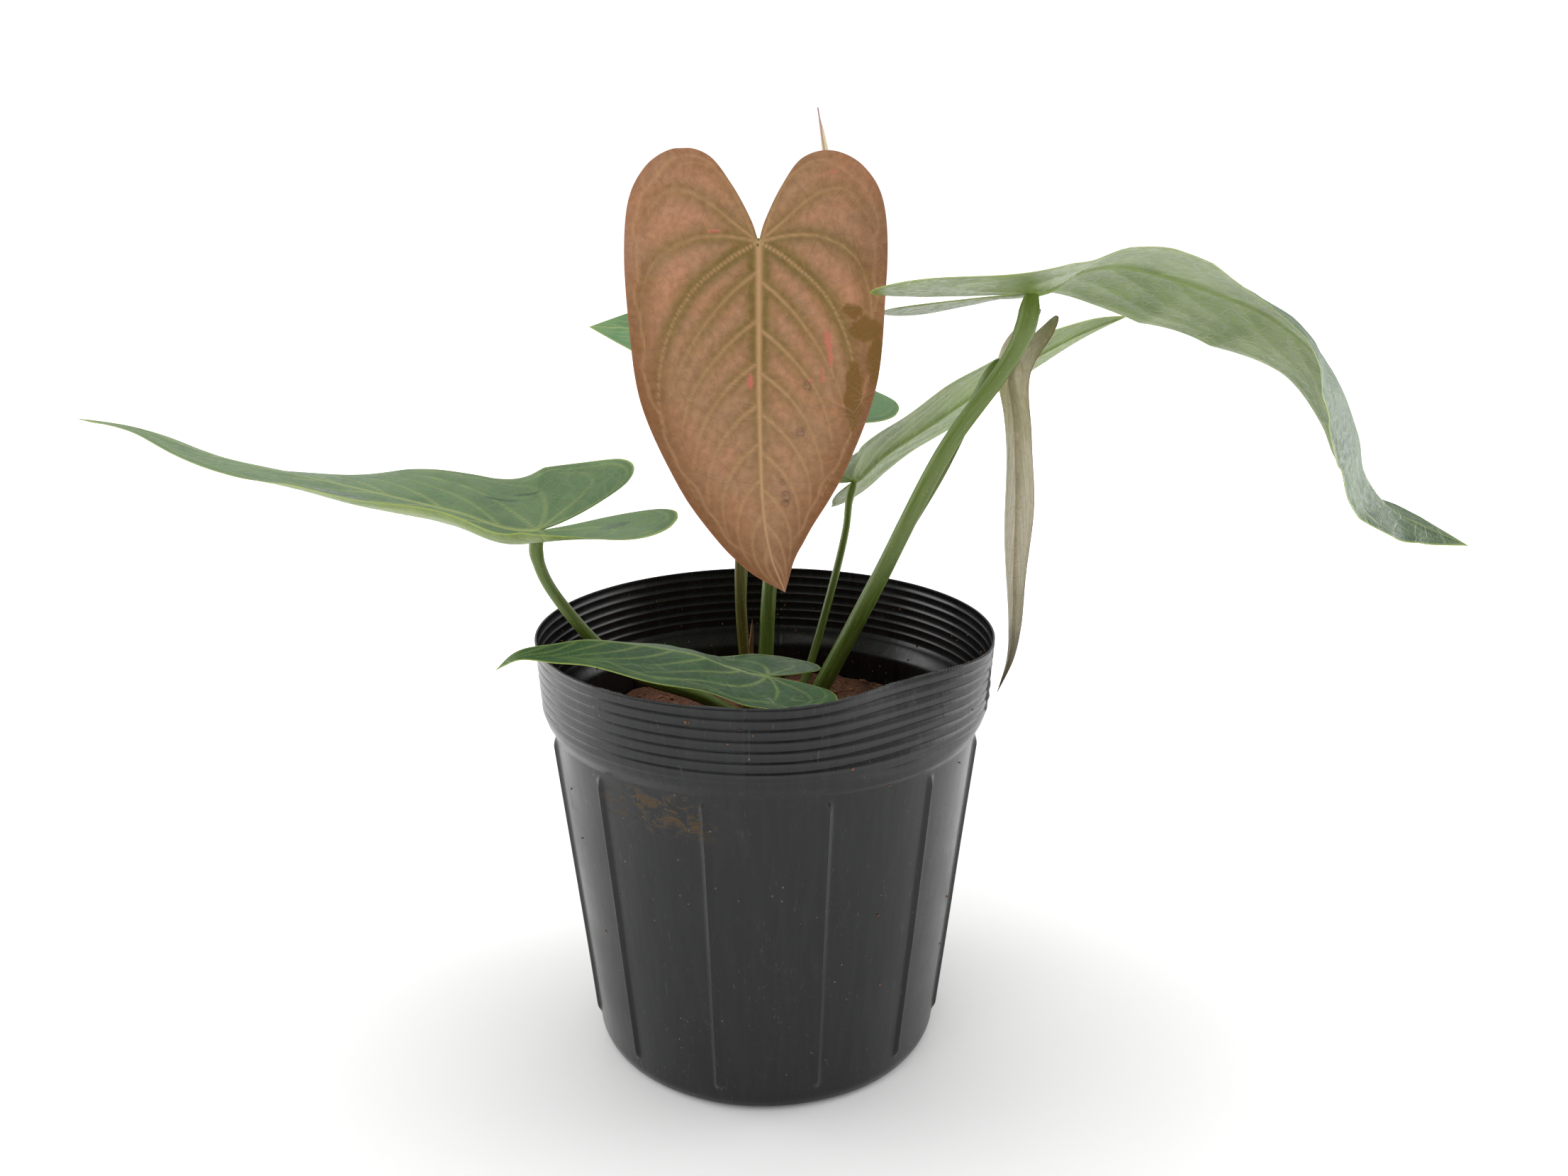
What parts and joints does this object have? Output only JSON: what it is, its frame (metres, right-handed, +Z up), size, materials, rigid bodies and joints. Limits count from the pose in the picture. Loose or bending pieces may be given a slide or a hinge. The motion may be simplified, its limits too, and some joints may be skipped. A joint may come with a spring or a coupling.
{
  "type": "potted anthurium",
  "caption": "Young heart-leaved potted plant: lobed leaves on long petioles and a narrow new flower spathe, rooted in coir in a ribbed tapered nursery pot.",
  "frame": {"origin": "centre of the flat underside of the pot", "axes": "+Z up, +X towards the tip of the long right-hand leaf, -Y towards the front of the plant, which the copper leaf faces"},
  "size_m": [0.5783, 0.2006, 0.4066],
  "materials": {
    "black_pot_plastic": "satin black blow-moulded plastic, scuffed and dusty",
    "coir_mix": "matt, damp reddish-brown coconut coir",
    "coir_chip": "matt fibrous husk chip",
    "crown_skin": "rough greenish-brown stem skin",
    "leaf_green": "semi-gloss leaf with pale veins",
    "leaf_copper": "satin copper-brown young leaf with olive veins",
    "petiole_green": "smooth satin green stalk",
    "dry_sheath": "papery dry brown",
    "spathe_cream": "waxy pale yellow-green with pink edges",
    "spadix_yellow": "fine-grained yellow"
  },
  "bodies": {
    "root": {"cataphyll": "dry_sheath", "crown": "crown_skin", "growing_mix": "coir_mix", "husk_chip_1": "coir_chip", "husk_chip_2": "coir_chip", "husk_chip_3": "coir_chip", "husk_chip_4": "coir_chip", "husk_chip_5": "coir_chip", "husk_chip_6": "coir_chip", "leaf_copper": "leaf_copper", "leaf_front": "leaf_green", "leaf_hanging": "leaf_green", "leaf_left": "leaf_green", "leaf_rear": "leaf_green", "leaf_right": "leaf_green", "leaf_right_rear": "leaf_green", "nursery_pot": "black_pot_plastic", "peduncle": "petiole_green", "petiole_copper": "petiole_green", "petiole_front": "petiole_green", "petiole_hanging": "petiole_green", "petiole_left": "petiole_green", "petiole_rear": "petiole_green", "petiole_right": "petiole_green", "petiole_right_rear": "petiole_green", "spadix": "spadix_yellow", "spathe": "spathe_cream"}
  },
  "joints": []
}
